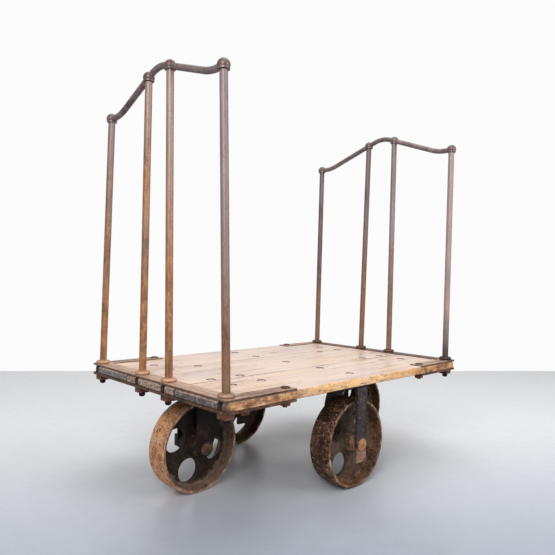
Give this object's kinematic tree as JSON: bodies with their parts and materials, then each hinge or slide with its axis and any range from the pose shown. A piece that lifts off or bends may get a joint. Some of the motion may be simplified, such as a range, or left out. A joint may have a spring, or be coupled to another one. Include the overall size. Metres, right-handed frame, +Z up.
{
  "type": "platform truck",
  "caption": "Old factory platform truck: plank deck on cast-iron wheels set in a diamond, swivel castors fore and aft, and a rack of round iron posts with an arched rail at each end.",
  "frame": {"origin": "on the floor under the middle of the deck", "axes": "+X to the front of the truck, +Y to its left, +Z up"},
  "size_m": [1.034, 0.662, 1.1674],
  "materials": {
    "wood": "worn and waxed",
    "strap_iron": "brown rust",
    "post_iron": "satin patina",
    "rail_iron": "satin patina",
    "fastener_iron": "rusty",
    "hanger_iron": "dark rust",
    "castor_iron": "blue-black",
    "pin_steel": "dull",
    "axle_iron": "rusty",
    "wheel_iron": "rusty"
  },
  "bodies": {
    "truck": {"deck_board_left": "wood", "deck_board_middle": "wood", "deck_board_right": "wood", "rear_top_strap": "strap_iron", "rear_bottom_strap": "strap_iron", "front_top_strap": "strap_iron", "front_bottom_strap": "strap_iron", "rear_left_outer_post": "post_iron", "rear_left_inner_post": "post_iron", "rear_right_outer_post": "post_iron", "rear_right_inner_post": "post_iron", "front_left_outer_post": "post_iron", "front_left_inner_post": "post_iron", "front_right_outer_post": "post_iron", "front_right_inner_post": "post_iron", "rear_rail": "rail_iron", "front_rail": "rail_iron", "rear_post_nuts": "fastener_iron", "front_post_nuts": "fastener_iron", "strap_bolts": "fastener_iron", "strap_nuts": "fastener_iron", "hanger_bolts": "fastener_iron", "hanger_nuts": "fastener_iron", "leg_bolts": "fastener_iron", "leg_nuts": "fastener_iron", "rear_castor_bolts": "fastener_iron", "rear_castor_nuts": "fastener_iron", "front_castor_bolts": "fastener_iron", "front_castor_nuts": "fastener_iron", "hanger_bar": "hanger_iron", "left_inner_leg": "hanger_iron", "right_inner_leg": "hanger_iron", "rear_castor_plate": "castor_iron", "front_castor_plate": "castor_iron", "rear_king_pin": "pin_steel", "front_king_pin": "pin_steel", "rear_thrust_washer": "pin_steel", "front_thrust_washer": "pin_steel", "left_axle": "axle_iron", "right_axle": "axle_iron", "left_axle_nut": "axle_iron", "right_axle_nut": "axle_iron", "left_washers": "axle_iron", "right_washers": "axle_iron"},
    "rear_castor": {"rear_castor_fork": "castor_iron", "rear_castor_axle": "axle_iron", "rear_castor_axle_nut": "axle_iron", "rear_castor_washers": "axle_iron"},
    "front_castor": {"front_castor_fork": "castor_iron", "front_castor_axle": "axle_iron", "front_castor_axle_nut": "axle_iron", "front_castor_washers": "axle_iron"},
    "left_wheel": {"left_wheel": "wheel_iron"},
    "right_wheel": {"right_wheel": "wheel_iron"},
    "rear_castor_wheel": {"rear_castor_wheel": "wheel_iron"},
    "front_castor_wheel": {"front_castor_wheel": "wheel_iron"}
  },
  "joints": [
    {"name": "left_wheel_spin", "type": "hinge", "parent": "truck", "child": "left_wheel", "pos_m": [0, 0.263, 0.127], "axis": [0, 1, 0], "continuous": true},
    {"name": "right_wheel_spin", "type": "hinge", "parent": "truck", "child": "right_wheel", "pos_m": [0, -0.263, 0.127], "axis": [0, 1, 0], "continuous": true},
    {"name": "rear_castor_swivel", "type": "hinge", "parent": "truck", "child": "rear_castor", "pos_m": [-0.332, 0, 0.2816], "axis": [0, 0, 1], "continuous": true},
    {"name": "rear_castor_wheel_spin", "type": "hinge", "parent": "rear_castor", "child": "rear_castor_wheel", "pos_m": [-0.36198, -0.00105, 0.127], "axis": [0.0349, -0.9994, 0], "continuous": true},
    {"name": "front_castor_swivel", "type": "hinge", "parent": "truck", "child": "front_castor", "pos_m": [0.332, 0, 0.2816], "axis": [0, 0, 1], "continuous": true},
    {"name": "front_castor_wheel_spin", "type": "hinge", "parent": "front_castor", "child": "front_castor_wheel", "pos_m": [0.362, 0, 0.127], "axis": [0, 1, 0], "continuous": true}
  ]
}
